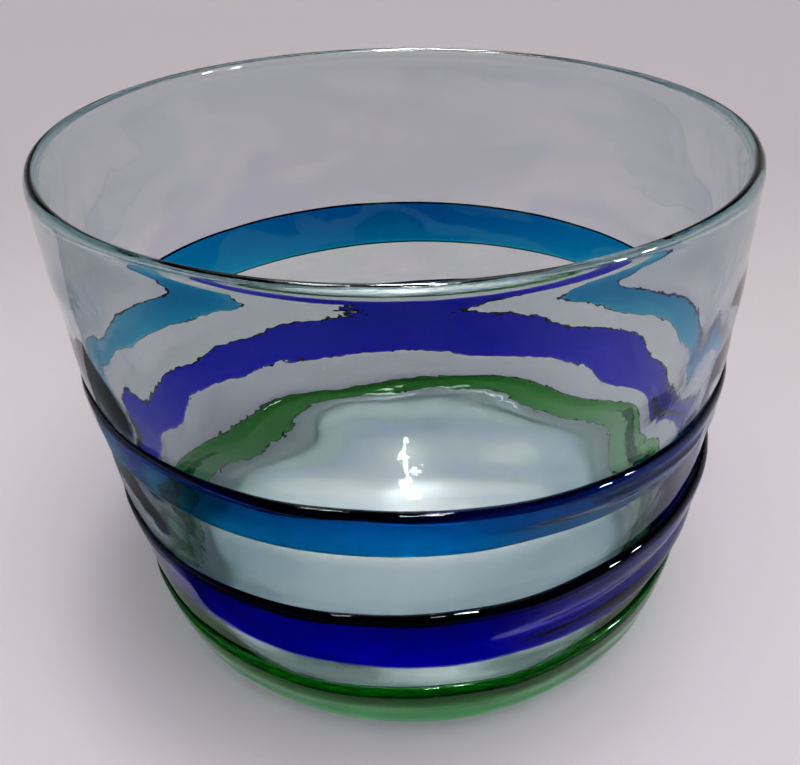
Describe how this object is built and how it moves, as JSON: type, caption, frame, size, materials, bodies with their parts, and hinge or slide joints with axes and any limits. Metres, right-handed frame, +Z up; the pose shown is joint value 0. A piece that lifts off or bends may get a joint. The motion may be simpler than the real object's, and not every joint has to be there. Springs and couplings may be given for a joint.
{
  "type": "art glass bowl",
  "caption": "Deep blown clear glass bowl with a fire-polished rim and coloured glass trails laid round its outer wall.",
  "frame": {"origin": "centre of the underside, on the surface that the bowl stands on", "axes": "+Z up along the bowl's axis, -Y towards the side that was pictured, +X to that side's right"},
  "size_m": [0.23, 0.23, 0.176],
  "materials": {
    "clear_glass": "fire-polished, clear with a faint grey-green tint",
    "teal_glass": "fire-polished, transparent teal",
    "cobalt_glass": "fire-polished, transparent cobalt blue",
    "green_glass": "fire-polished, transparent green"
  },
  "bodies": {
    "root": {"clear_bowl": "clear_glass", "teal_trail": "teal_glass", "cobalt_trail": "cobalt_glass", "green_trail": "green_glass"}
  },
  "joints": []
}
